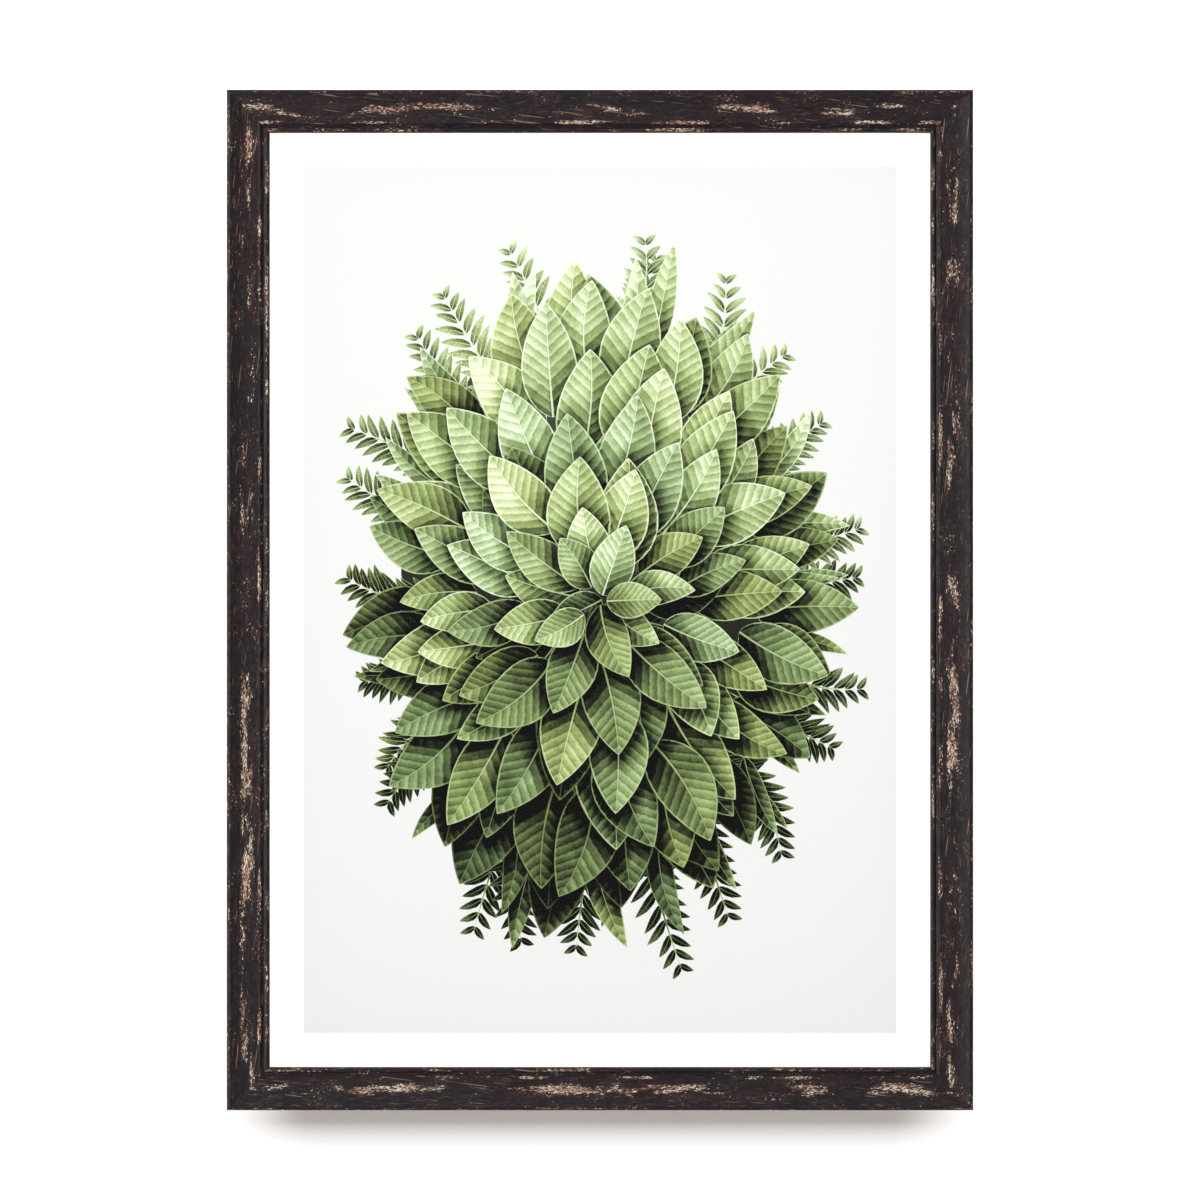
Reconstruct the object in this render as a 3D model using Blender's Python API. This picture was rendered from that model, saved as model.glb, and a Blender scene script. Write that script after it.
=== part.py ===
"""A picture print of A3 sight size in a painted wooden frame, made to hang on a wall.

Metres, +Z up, and the front faces -Y. The origin is where the wall nail bears: in the middle
notch of the sawtooth hanger, on the plane of the rails' backs.
"""

import math

import bmesh
import bpy
from mathutils import Matrix, Vector

MM = 0.001

# The visible opening, and the moulding round it.
SIGHT_WIDTH = 297 * MM
SIGHT_HEIGHT = 420 * MM
RAIL_WIDTH = 19 * MM
RAIL_DEPTH = 16 * MM
REBATE_WIDTH = 5 * MM
REBATE_DEPTH = 8 * MM
MITRE_GAP = 0.3 * MM

# The moulding's front, by distance out from the sight edge and height above the rails' backs.
# Its arcs end or start at angles in degrees, from 0 straight outwards to 90 straight to the front.
BEAD_RADIUS = 1.1 * MM
BEAD_CENTRE = (BEAD_RADIUS, 12.6 * MM)
BEAD_END = 40
GROOVE = (2.5 * MM, 13.0 * MM)
RIDGE_RADIUS = 0.9 * MM
RIDGE_CENTRE = (4.3 * MM, 13.6 * MM)
RIDGE_END = 60
LIP_RADIUS = 1.1 * MM
LIP_CENTRE = (17.5 * MM, RAIL_DEPTH - LIP_RADIUS)
LIP_START = 110
COVE_RADIUS = 22.3 * MM
COVE_SWEEP = 18.2
QUIRK_HEIGHT = 14.3 * MM

# The sheets in the rebate, front to back.
SHEET_THICKNESS = {
    "glazing": 2.0 * MM,
    "print_sheet": 0.3 * MM,
    "support_card": 1.3 * MM,
    "back_board": 3.0 * MM,
}
SHEET_CLEARANCE = 1 * MM
GAP = 0.3 * MM

# The wall nail bears this far below the frame's top edge.
TOP_EDGE = 10.5 * MM
SIGHT_TOP = TOP_EDGE - RAIL_WIDTH
CENTRE = SIGHT_TOP - SIGHT_HEIGHT / 2

# Turn buttons, two to a rail.
BUTTON_PIVOT_OUT = 11.5 * MM
BUTTON_SPACING = {"top": 170 * MM, "bottom": 170 * MM, "left": 240 * MM, "right": 240 * MM}
BUTTON_REACH = 18 * MM
BUTTON_TAIL_RADIUS = 5 * MM
BUTTON_NOSE_RADIUS = 3.6 * MM
BUTTON_THICKNESS = 0.9 * MM

# Pan-head wood screws with a cross recess, one through each turn button.
SCREW_HEAD_RADIUS = 3.0 * MM
SCREW_HEAD_HEIGHT = 1.9 * MM
SCREW_HEAD_RIM = 0.9 * MM
SCREW_ROOT_RADIUS = 1.05 * MM
SCREW_CREST_RADIUS = 1.45 * MM
SCREW_NECK = 1.8 * MM
SCREW_PITCH = 1.5 * MM
SCREW_TURNS = 4
SCREW_TIP = 2.2 * MM
SCREW_HOLE_RADIUS = 1.8 * MM
SCREW_HOLE_DEPTH = 11 * MM
RECESS_SPAN = 3.4 * MM
RECESS_SLOT = 0.8 * MM
RECESS_DEPTH = 1.1 * MM

# Sawtooth hanger, a strip with two flat ears and a raised middle.
HANGER_LENGTH = 45 * MM
HANGER_EAR = 8 * MM
HANGER_RISER = 2.5 * MM
HANGER_LIFT = 2.2 * MM
HANGER_THICKNESS = 0.9 * MM
HANGER_TOP = 7.4 * MM
HANGER_CORNER = 1.6 * MM
TOOTH_DEPTH = 1.3 * MM
TOOTH_PITCH = 2.0 * MM
TOOTH_WIDTH = 1.8 * MM
TOOTH_COUNT = 9

# The two nails through its ears.
NAIL_HEAD_RADIUS = 1.9 * MM
NAIL_HEAD_FLAT = 1.1 * MM
NAIL_HEAD_HEIGHT = 0.8 * MM
NAIL_SHANK_RADIUS = 0.75 * MM
NAIL_LENGTH = 10 * MM
NAIL_TIP = 1.5 * MM
NAIL_HOLE_RADIUS = 1.1 * MM
NAIL_HOLE_DEPTH = 11 * MM

# V-shaped nails across each mitre, pressed in from the back. Their legs point out along the rails.
V_NAIL_LEG = 4.0 * MM
V_NAIL_THICKNESS = 0.6 * MM
V_NAIL_LENGTH = 7.0 * MM
V_NAIL_SUNK = 0.4 * MM
V_NAIL_OUT = {"inner": 7.6 * MM, "outer": 13.0 * MM}

# How finely round shapes are drawn, and how far cutters run past what they cut.
ARC_STEPS = 6
COVE_STEPS = 10
LIP_STEPS = 11
DOME_STEPS = 4
CORNER_STEPS = 3
ROUND_SIDES = 16
SMOOTH_ANGLE = math.radians(35)
MERGE = 0.001 * MM
OVERRUN = 1 * MM

RAIL_TURN = {"top": 0, "right": 90, "bottom": 180, "left": -90}
CORNERS = {
    "top_right": (1, 1, 0),
    "bottom_right": (1, -1, 90),
    "bottom_left": (-1, -1, 180),
    "top_left": (-1, 1, -90),
}


def clear_scene():
    for obj in list(bpy.data.objects):
        bpy.data.objects.remove(obj)


def material(name, colour, roughness, metallic=0.0, alpha=1.0):
    made = bpy.data.materials.new(name)
    made.use_nodes = True
    shader = made.node_tree.nodes["Principled BSDF"]
    shader.inputs["Base Color"].default_value = (*colour, 1.0)
    shader.inputs["Roughness"].default_value = roughness
    shader.inputs["Metallic"].default_value = metallic
    shader.inputs["Alpha"].default_value = alpha
    return made


def circle_point(centre, radius, degrees):
    angle = math.radians(degrees)
    return (centre[0] + radius * math.cos(angle), centre[1] + radius * math.sin(angle))


def arc(centre, radius, start, end, steps):
    """The points of a round stretch, from one angle in degrees to another, both included."""
    return [circle_point(centre, radius, start + (end - start) * i / steps) for i in range(steps + 1)]


def circle(centre, radius):
    return arc(centre, radius, 0, 360, ROUND_SIDES)[:-1]


def moulding_outline():
    """A rail's section as (distance out from the sight edge, height above its back).

    A nearly flat field runs from the ridge to a shallow cove, which sweeps up into the outer lip.
    """
    bead = arc(BEAD_CENTRE, BEAD_RADIUS, 180, BEAD_END, ARC_STEPS)
    ridge = arc(RIDGE_CENTRE, RIDGE_RADIUS, 180, RIDGE_END, ARC_STEPS)
    cove_centre = circle_point(LIP_CENTRE, LIP_RADIUS + COVE_RADIUS, LIP_START)
    cove_end = LIP_START - 180
    cove = arc(cove_centre, COVE_RADIUS, cove_end - COVE_SWEEP, cove_end, COVE_STEPS)
    lip = arc(LIP_CENTRE, LIP_RADIUS, LIP_START, 0, LIP_STEPS)
    quirk = [(lip[-1][0], QUIRK_HEIGHT), (RAIL_WIDTH, QUIRK_HEIGHT)]
    back = [(RAIL_WIDTH, 0), (REBATE_WIDTH, 0), (REBATE_WIDTH, REBATE_DEPTH), (0, REBATE_DEPTH)]
    return [*bead, GROOVE, *ridge, *cove, *lip[1:], *quirk, *back]


def add_prism(bm, outline, along):
    """Adds the solid that a flat outline of 3-D points sweeps along a vector."""
    face = bm.faces.new([bm.verts.new(point) for point in outline])
    swept = bmesh.ops.extrude_face_region(bm, geom=[face])["geom"]
    far_end = [vert for vert in swept if isinstance(vert, bmesh.types.BMVert)]
    bmesh.ops.translate(bm, verts=far_end, vec=along)


def add_plate(bm, outline, front, back):
    """Adds a plate with this (x, z) outline, from one y to the other."""
    add_prism(bm, [(x, front, z) for x, z in outline], (0, back - front, 0))


def mesh_of(bm, name):
    """The bmesh as a mesh with its faces pointing out and its round faces shaded smooth."""
    bmesh.ops.recalc_face_normals(bm, faces=bm.faces)
    mesh = bpy.data.meshes.new(name)
    bm.to_mesh(mesh)
    bm.free()
    mesh.shade_smooth()
    mesh.set_sharp_from_angle(angle=SMOOTH_ANGLE)
    return mesh


def turned(name, profile):
    """A mesh turned about Y from (radius, y) points that start and end on the axis."""
    bm = bmesh.new()
    points = [bm.verts.new((radius, y, 0)) for radius, y in profile]
    edges = [bm.edges.new(pair) for pair in zip(points, points[1:])]
    bmesh.ops.spin(
        bm,
        geom=[*points, *edges],
        cent=(0, 0, 0),
        axis=(0, 1, 0),
        angle=math.tau,
        steps=ROUND_SIDES,
        use_merge=True,
    )
    bmesh.ops.remove_doubles(bm, verts=bm.verts, dist=MERGE)
    return mesh_of(bm, name)


def place(name, mesh, skin, location=(0, 0, 0), turn=0):
    """An object with this mesh, turned about Y in degrees. Copies share the mesh and its material."""
    obj = bpy.data.objects.new(name, mesh)
    bpy.context.scene.collection.objects.link(obj)
    if skin and not mesh.materials:
        mesh.materials.append(skin)
    obj.location = location
    obj.rotation_euler = (0, math.radians(turn), 0)
    return obj


def cutter(name, bm):
    obj = place(name, mesh_of(bm, name), None)
    obj.hide_render = True
    obj.display_type = "WIRE"
    return obj


def cut(obj, tool):
    modifier = obj.modifiers.new(tool.name, "BOOLEAN")
    modifier.operation = "DIFFERENCE"
    modifier.solver = "EXACT"
    modifier.object = tool


def drill(name, spots, radius, depth):
    """A cutter of round holes at these (x, z) spots, through the plates and into the wood."""
    bm = bmesh.new()
    for spot in spots:
        add_plate(bm, circle(spot, radius), -depth, GAP + BUTTON_THICKNESS + OVERRUN)
    return cutter(name, bm)


def sight_middle(side):
    """The middle of a rail's sight edge, and half that edge's length."""
    half_width, half_height = SIGHT_WIDTH / 2, SIGHT_HEIGHT / 2
    return {
        "top": (Vector((0, 0, SIGHT_TOP)), half_width),
        "bottom": (Vector((0, 0, SIGHT_TOP - SIGHT_HEIGHT)), half_width),
        "right": (Vector((half_width, 0, CENTRE)), half_height),
        "left": (Vector((-half_width, 0, CENTRE)), half_height),
    }[side]


def make_rail(side, skin):
    """One length of moulding, mitred at both ends. Before it is turned, z is the distance out."""
    middle, half_length = sight_middle(side)
    bm = bmesh.new()
    add_prism(bm, [(-1, -height, out) for out, height in moulding_outline()], (2, 0, 0))
    for vert in bm.verts:
        vert.co.x *= half_length + vert.co.z - MITRE_GAP / 2
    name = f"rail_{side}"
    return place(name, mesh_of(bm, name), skin, middle, RAIL_TURN[side])


def make_sheets(skins):
    """The sheets between the rebate's floor and the turn buttons, each a little off the next."""
    half_width = SIGHT_WIDTH / 2 + REBATE_WIDTH - SHEET_CLEARANCE
    half_height = SIGHT_HEIGHT / 2 + REBATE_WIDTH - SHEET_CLEARANCE
    corners = [(-1, -1), (1, -1), (1, 1), (-1, 1)]
    outline = [(x * half_width, z * half_height) for x, z in corners]
    front = GAP - REBATE_DEPTH
    for name, thickness in SHEET_THICKNESS.items():
        bm = bmesh.new()
        add_plate(bm, outline, 0, thickness)
        place(name, mesh_of(bm, name), skins[name], (0, front, CENTRE))
        front += thickness + GAP


def button_pivots():
    """The name ending, the place on the backs' plane and the turn of each turn button."""
    for side, turn in RAIL_TURN.items():
        middle, _ = sight_middle(side)
        for number, sign in ((1, -1), (2, 1)):
            offset = Vector((sign * BUTTON_SPACING[side] / 2, 0, BUTTON_PIVOT_OUT))
            offset.rotate(Matrix.Rotation(math.radians(turn), 3, "Y"))
            yield f"{side}_{number}", middle + offset, turn


def turn_button_mesh():
    """A flat plate with a round tail about its pivot and a narrower round nose below it."""
    half_round = ROUND_SIDES // 2
    tail = arc((0, 0), BUTTON_TAIL_RADIUS, 0, 180, half_round)
    nose = arc((0, BUTTON_NOSE_RADIUS - BUTTON_REACH), BUTTON_NOSE_RADIUS, 180, 360, half_round)
    bm = bmesh.new()
    add_plate(bm, [*tail, *nose], 0, BUTTON_THICKNESS)
    return mesh_of(bm, "turn_button")


def screw_mesh():
    """A pan-head screw with ring threads. y = 0 is the underside of its head."""
    dome_height = SCREW_HEAD_HEIGHT - SCREW_HEAD_RIM
    dome = [
        (radius, SCREW_HEAD_RIM + rise * dome_height / SCREW_HEAD_RADIUS)
        for radius, rise in arc((0, 0), SCREW_HEAD_RADIUS, 90, 0, DOME_STEPS)
    ]
    threads = []
    for number in range(SCREW_TURNS):
        crest = -SCREW_NECK - number * SCREW_PITCH
        threads += [(SCREW_ROOT_RADIUS, crest + SCREW_PITCH / 4), (SCREW_CREST_RADIUS, crest)]
        threads += [(SCREW_ROOT_RADIUS, crest - SCREW_PITCH / 4)]
    tip = (0, threads[-1][1] - SCREW_TIP)
    return turned("wood_screw", [*dome, (SCREW_HEAD_RADIUS, 0), (SCREW_ROOT_RADIUS, 0), *threads, tip])


def cross_outline(centre):
    """A plus sign about an (x, z) centre."""
    near, far = RECESS_SLOT / 2, RECESS_SPAN / 2
    arm = [(far, -near), (far, near), (near, near)]
    outline = []
    for _ in range(4):
        outline += [(centre.x + x, centre.z + z) for x, z in arm]
        arm = [(-z, x) for x, z in arm]
    return outline


def make_buttons(skin, screw_holes):
    """The turn buttons, each with its origin on its pivot, and their screws."""
    plate, screw = turn_button_mesh(), screw_mesh()
    under_head = 2 * GAP + BUTTON_THICKNESS
    recesses = bmesh.new()
    screws = []
    for ending, pivot, turn in button_pivots():
        button = place(f"turn_button_{ending}", plate, skin, pivot + Vector((0, GAP, 0)), turn)
        cut(button, screw_holes)
        seat = pivot + Vector((0, under_head, 0))
        screws.append(place(f"button_screw_{ending}", screw, skin, seat))
        floor = under_head + SCREW_HEAD_HEIGHT - RECESS_DEPTH
        add_plate(recesses, cross_outline(pivot), floor, floor + RECESS_DEPTH + OVERRUN)
    recess_tool = cutter("cutter_screw_recesses", recesses)
    for screw_object in screws:
        cut(screw_object, recess_tool)


def nail_spots():
    """The (x, z) of the hanger's two nails, in the middle of its ears."""
    x = (HANGER_LENGTH - HANGER_EAR) / 2
    z = (HANGER_TOP - TOOTH_DEPTH) / 2
    return [(-x, z), (x, z)]


def hanger_section():
    """The bent strip's (x, y) outline, seen from above, with its back along y = 0."""
    half = HANGER_LENGTH / 2
    foot = half - HANGER_EAR
    top = foot - HANGER_RISER
    bend = HANGER_THICKNESS * math.tan(math.atan2(HANGER_LIFT, HANGER_RISER) / 2)
    under = [(half, 0), (foot, 0), (top, HANGER_LIFT)]
    over = [(top + bend, HANGER_LIFT), (foot + bend, 0), (half, 0)]
    under += [(-x, y) for x, y in reversed(under)]
    over = [(x, y + HANGER_THICKNESS) for x, y in over]
    over = [(-x, y) for x, y in reversed(over)] + over
    return under + over


def sawtooth_cutter():
    """Notches along the lower edge of the hanger's raised middle. The middle one's tip is at z = 0."""
    front = GAP + HANGER_LIFT / 2
    back = GAP + HANGER_LIFT + HANGER_THICKNESS + OVERRUN
    half = TOOTH_WIDTH / 2
    notch = [(0, 0), (-half, -TOOTH_DEPTH), (-half, -TOOTH_DEPTH - OVERRUN)]
    notch += [(half, -TOOTH_DEPTH - OVERRUN), (half, -TOOTH_DEPTH)]
    bm = bmesh.new()
    for number in range(TOOTH_COUNT):
        middle = (number - (TOOTH_COUNT - 1) / 2) * TOOTH_PITCH
        add_plate(bm, [(middle + x, z) for x, z in notch], front, back)
    return cutter("cutter_hanger_teeth", bm)


def is_end_corner(edge):
    """Whether this edge of the strip runs through its thickness at one of its ends."""
    first, second = (vert.co for vert in edge.verts)
    at_end = HANGER_LENGTH / 2 - abs(first.x) < MERGE
    return at_end and abs(second.x - first.x) < MERGE and abs(second.y - first.y) > MERGE


def make_hanger(skin, nail_holes):
    """The sawtooth hanger and its two nails."""
    bm = bmesh.new()
    outline = [(x, GAP + y, -TOOTH_DEPTH) for x, y in hanger_section()]
    add_prism(bm, outline, (0, 0, HANGER_TOP + TOOTH_DEPTH))
    corners = [edge for edge in bm.edges if is_end_corner(edge)]
    bmesh.ops.bevel(
        bm, geom=corners, offset=HANGER_CORNER, segments=CORNER_STEPS, profile=0.5, affect="EDGES"
    )
    hanger = place("sawtooth_hanger", mesh_of(bm, "sawtooth_hanger"), skin)
    cut(hanger, sawtooth_cutter())
    cut(hanger, nail_holes)

    head = [(0, NAIL_HEAD_HEIGHT), (NAIL_HEAD_FLAT, NAIL_HEAD_HEIGHT)]
    head += [(NAIL_HEAD_RADIUS, NAIL_HEAD_HEIGHT / 2), (NAIL_HEAD_RADIUS, 0)]
    shank = [(NAIL_SHANK_RADIUS, 0), (NAIL_SHANK_RADIUS, NAIL_TIP - NAIL_LENGTH), (0, -NAIL_LENGTH)]
    nail = turned("hanger_nail", head + shank)
    for number, (x, z) in enumerate(nail_spots(), start=1):
        seat = (x, 2 * GAP + HANGER_THICKNESS, z)
        place(f"hanger_nail_{number}", nail, skin, seat)


def v_nail_seats():
    """The name ending, the place of the inner edge and the turn of each V-nail."""
    for corner, (right, up, turn) in CORNERS.items():
        for ending, out in V_NAIL_OUT.items():
            x = right * (SIGHT_WIDTH / 2 + out)
            z = CENTRE + up * (SIGHT_HEIGHT / 2 + out)
            yield f"{corner}_{ending}", Vector((x, 0, z)), turn


def v_outline(margin=0):
    """Two legs that meet at the origin and run out along +X and +Z."""
    near, far, inside = -margin, V_NAIL_LEG + margin, V_NAIL_THICKNESS + margin
    return [(near, near), (far, near), (far, inside), (inside, inside), (inside, far), (near, far)]


def v_slot_cutter():
    bm = bmesh.new()
    for _, seat, turn in v_nail_seats():
        spin = Matrix.Translation(seat) @ Matrix.Rotation(math.radians(turn), 4, "Y")
        floor = -V_NAIL_SUNK - V_NAIL_LENGTH - GAP
        outline = [spin @ Vector((x, floor, z)) for x, z in v_outline(GAP)]
        add_prism(bm, outline, (0, OVERRUN - floor, 0))
    return cutter("cutter_v_slots", bm)


def make_v_nails(skin):
    bm = bmesh.new()
    add_plate(bm, v_outline(), -V_NAIL_SUNK - V_NAIL_LENGTH, -V_NAIL_SUNK)
    mesh = mesh_of(bm, "v_nail")
    for ending, seat, turn in v_nail_seats():
        place(f"v_nail_{ending}", mesh, skin, seat, turn)


def main():
    clear_scene()
    zinc = material("zinc_plated_steel", (0.62, 0.62, 0.60), 0.35, metallic=1.0)
    brass = material("brassed_steel", (0.66, 0.50, 0.24), 0.3, metallic=1.0)
    painted_wood = material("dark_painted_wood", (0.034, 0.025, 0.028), 0.55)
    sheet_skins = {
        "glazing": material("clear_acrylic", (0.95, 0.97, 0.97), 0.05, alpha=0.2),
        "print_sheet": material("matt_paper", (0.90, 0.90, 0.88), 0.85),
        "support_card": material("grey_card", (0.62, 0.59, 0.54), 0.9),
        "back_board": material("hardboard", (0.22, 0.13, 0.07), 0.75),
    }
    pivots = [(pivot.x, pivot.z) for _, pivot, _ in button_pivots()]
    screw_holes = drill("cutter_screw_holes", pivots, SCREW_HOLE_RADIUS, SCREW_HOLE_DEPTH)
    nail_holes = drill("cutter_nail_holes", nail_spots(), NAIL_HOLE_RADIUS, NAIL_HOLE_DEPTH)
    v_slots = v_slot_cutter()
    for side in RAIL_TURN:
        rail = make_rail(side, painted_wood)
        cut(rail, screw_holes)
        cut(rail, v_slots)
        if side == "top":
            cut(rail, nail_holes)
    make_sheets(sheet_skins)
    make_buttons(zinc, screw_holes)
    make_hanger(brass, nail_holes)
    make_v_nails(zinc)


main()
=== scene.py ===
"""The looks of a framed picture print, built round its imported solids.

Metres, +Z up, and the front faces -Y, as in the part. The artwork and the shaders work in
millimetres.
"""

import math
import random
from dataclasses import dataclass

import bmesh
import bpy
from mathutils import Matrix, Vector, kdtree, noise
from mathutils.geometry import delaunay_2d_cdt


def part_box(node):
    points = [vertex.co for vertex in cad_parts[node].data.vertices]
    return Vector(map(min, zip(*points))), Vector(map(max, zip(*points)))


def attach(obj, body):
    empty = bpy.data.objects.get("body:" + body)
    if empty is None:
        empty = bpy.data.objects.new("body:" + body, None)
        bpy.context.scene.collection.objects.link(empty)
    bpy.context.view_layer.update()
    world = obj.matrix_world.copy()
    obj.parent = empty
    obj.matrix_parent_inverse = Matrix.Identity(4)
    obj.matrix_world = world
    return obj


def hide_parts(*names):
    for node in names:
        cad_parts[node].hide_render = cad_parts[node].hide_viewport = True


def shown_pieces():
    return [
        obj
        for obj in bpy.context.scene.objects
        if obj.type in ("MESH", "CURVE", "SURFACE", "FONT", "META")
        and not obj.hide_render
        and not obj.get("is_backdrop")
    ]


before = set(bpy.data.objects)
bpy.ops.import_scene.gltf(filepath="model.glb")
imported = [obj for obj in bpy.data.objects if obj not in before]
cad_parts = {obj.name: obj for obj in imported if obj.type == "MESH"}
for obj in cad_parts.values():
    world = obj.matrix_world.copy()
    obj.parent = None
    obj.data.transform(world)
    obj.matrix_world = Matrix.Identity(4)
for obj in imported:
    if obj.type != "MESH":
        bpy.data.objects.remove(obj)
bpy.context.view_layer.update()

MM = 0.001
TO_MM = 1000

# The opening, and the moulding round it, as in the part.
SIGHT_WIDTH = 297 * MM
SIGHT_HEIGHT = 420 * MM
SIGHT_TOP = -8.5 * MM
CENTRE = SIGHT_TOP - SIGHT_HEIGHT / 2
RAIL_WIDTH = 19 * MM
RAIL_DEPTH = 16 * MM
REBATE_WIDTH = 5 * MM
REBATE_DEPTH = 8 * MM

# The moulding's front, by distance out from the sight edge and height above the rails' backs.
BEAD_RADIUS = 1.1 * MM
BEAD_CENTRE = Vector((BEAD_RADIUS, 12.6 * MM))
BEAD_START, BEAD_END = 180, 40
GROOVE = Vector((2.5 * MM, 13.0 * MM))
RIDGE_RADIUS = 0.9 * MM
RIDGE_CENTRE = Vector((4.3 * MM, 13.6 * MM))
RIDGE_START, RIDGE_END = 180, 60
LIP_RADIUS = 1.1 * MM
LIP_CENTRE = Vector((17.5 * MM, RAIL_DEPTH - LIP_RADIUS))
LIP_START, LIP_END = 110, 0
COVE_RADIUS = 22.3 * MM
COVE_SWEEP = 18.2
QUIRK_HEIGHT = 14.3 * MM

# How finely the moulding is drawn, and how uneven years of rubbing left its front. The hollow
# beside the ridge takes up only the first share of the field.
RIDGE_FOOT = 0.08
BEAD_STEPS = 9
COVE_STEPS = 16
LIP_STEPS = 22
RAIL_CUTS = 180
MITRE_GAP = 0.06 * MM
DENT_DEPTH = 0.16 * MM
DENT_LENGTH = 9 * MM

# The V-nails across each mitre, by how far out they sit, and the slots that they fill.
V_NAIL_OUT = (7.6 * MM, 13.0 * MM)
V_NAIL_LEG = 4.0 * MM
V_NAIL_THICKNESS = 0.6 * MM
V_SLOT_MARGIN = 0.1 * MM
V_SLOT_DEPTH = 7.7 * MM

RAIL_TURN = {"top": 0, "right": 90, "bottom": 180, "left": -90}
CORNER_TURN = {(1, 1): 0, (1, -1): 90, (-1, -1): 180, (-1, 1): -90}

# How far apart the rails' patterns start, in millimetres, so that no two are worn alike.
PATTERN_STEP = 700

# Where the front is rubbed: start, full, fade and end, in millimetres out from the sight edge.
BEAD_WEAR = (0.1, 0.5, 1.5, 2.1)
RIDGE_WEAR = (3.3, 3.9, 4.8, 5.5)
FIELD_WEAR = (5.8, 8.6, 10.8, 14.0)
LIP_WEAR = (17.4, 18.2, 19.2, 19.6)

# How far a scratch drifts across the rail for each step along it.
SCRATCH_SLANT = 0.12

# Paint ends just inside the rebate, in millimetres out and up from the rails' backs.
REBATE_PAINT_OUT = (5.06, 5.03)
REBATE_PAINT_HEIGHT = (8.04, 8.02)
BACK_PAINT_HEIGHT = (0.1, -0.2)

# The printed area of the sheet, whose white margin is bare paper, in millimetres.
PRINT_HALF_WIDTH = 133.5
PRINT_HALF_HEIGHT = 195.0

# The reach of the leaf design from the middle of the sheet, in millimetres.
DESIGN_HALF_WIDTH = 118.0
DESIGN_HALF_HEIGHT = 170.0
LONGEST_LEAF = 52.0
OVAL_EVENING = 0.09
DESIGN_SEED = 11

# A leaf's width follows these powers of how far it is from its stalk and from its tip.
STALK_POWER = 0.62
TIP_POWER = 0.9
LEAF_STEPS = 15
LEAFLET_STEPS = 5

# How far the shade under a leaf spreads, where it falls, and how fine the sheet's faces are.
SHADE_REACH = 3.2
SHADE_RANGE = 7.0
SHADE_SHIFT = Vector((0.6, -1.3))
GRID_STEP = 2.6
GRID_SHAKE = 0.35
GRID_REACH = 1.1
PAGE_MERGE = 0.0001

SMOOTH_ANGLE = math.radians(35)
FLAT_ANGLE = math.radians(1)
MERGE = 0.001 * MM

# Most of a noise texture's levels lie between these.
NOISE_LOW, NOISE_HIGH = 0.3, 0.7

# The mesh pressed into the back board's face, in radians for each millimetre.
MESH_RATE = 4.4

# How large clumps of flecks are beside a fleck, how uneven, and how soft a fleck's edge is.
CLUMP_SCALE = 0.35
CLUMPING = (0.55, 1.45)
FLECK_EDGE = 0.08

# The photograph's camera: a long lens, square to the front.
LENS = 200
SENSOR = 36
SEEN_WIDTH = 538.6 * MM
OUTER_EDGE_PLANE = -14.3 * MM

# The studio.
WALL_PLANE = 18 * MM
FLOOR_LEVEL = -1.7
FLOOR_GLOW = 0.36
SHEET_REACH = 6


def srgb(red, green, blue):
    """A colour given in levels from 0 to 255, as Blender's linear colour."""
    linear = []
    for level in (red, green, blue):
        share = level / 255
        linear.append(share / 12.92 if share <= 0.04045 else ((share + 0.055) / 1.055) ** 2.4)
    return (*linear, 1.0)


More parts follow.
